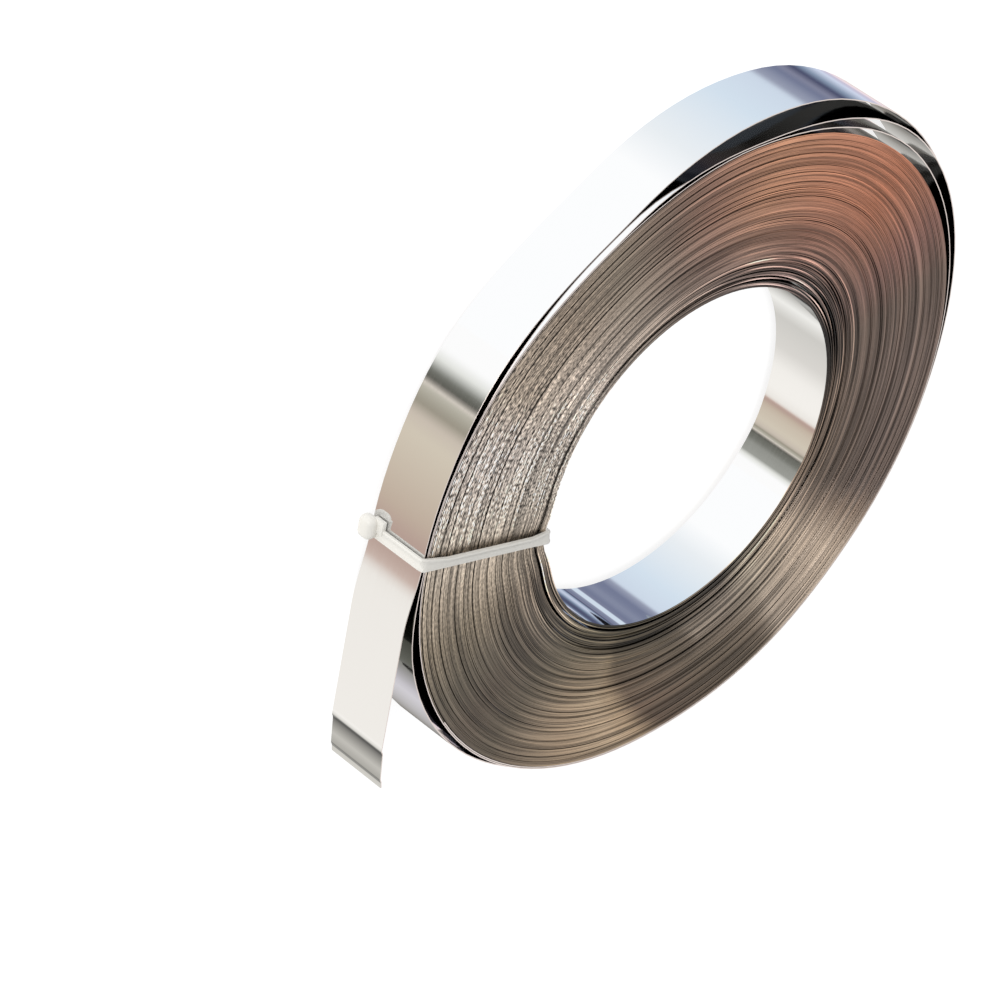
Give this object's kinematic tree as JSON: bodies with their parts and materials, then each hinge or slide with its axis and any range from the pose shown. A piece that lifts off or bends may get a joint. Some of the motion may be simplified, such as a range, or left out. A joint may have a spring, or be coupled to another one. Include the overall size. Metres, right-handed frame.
{
  "type": "coil of narrow steel strip",
  "caption": "Flat coil of narrow bright steel strip with a round bore, a free tail and a nylon cable tie, lying on its end.",
  "frame": {"origin": "bore axis at the lower end of the wound pack; the tie and the loose outer turn reach 1.5 mm lower, down to the floor", "axes": "+Z along the bore axis, up out of the coil; +X towards the side where the free tail ends"},
  "size_m": [0.1851, 0.1632, 0.019],
  "materials": {
    "bright_strip": "bright rolled faces, brown-tinted slit edges",
    "tie_nylon": "white moulded nylon, slight sheen"
  },
  "bodies": {
    "root": {"strip_coil": "bright_strip", "cable_tie": "tie_nylon"}
  },
  "joints": []
}
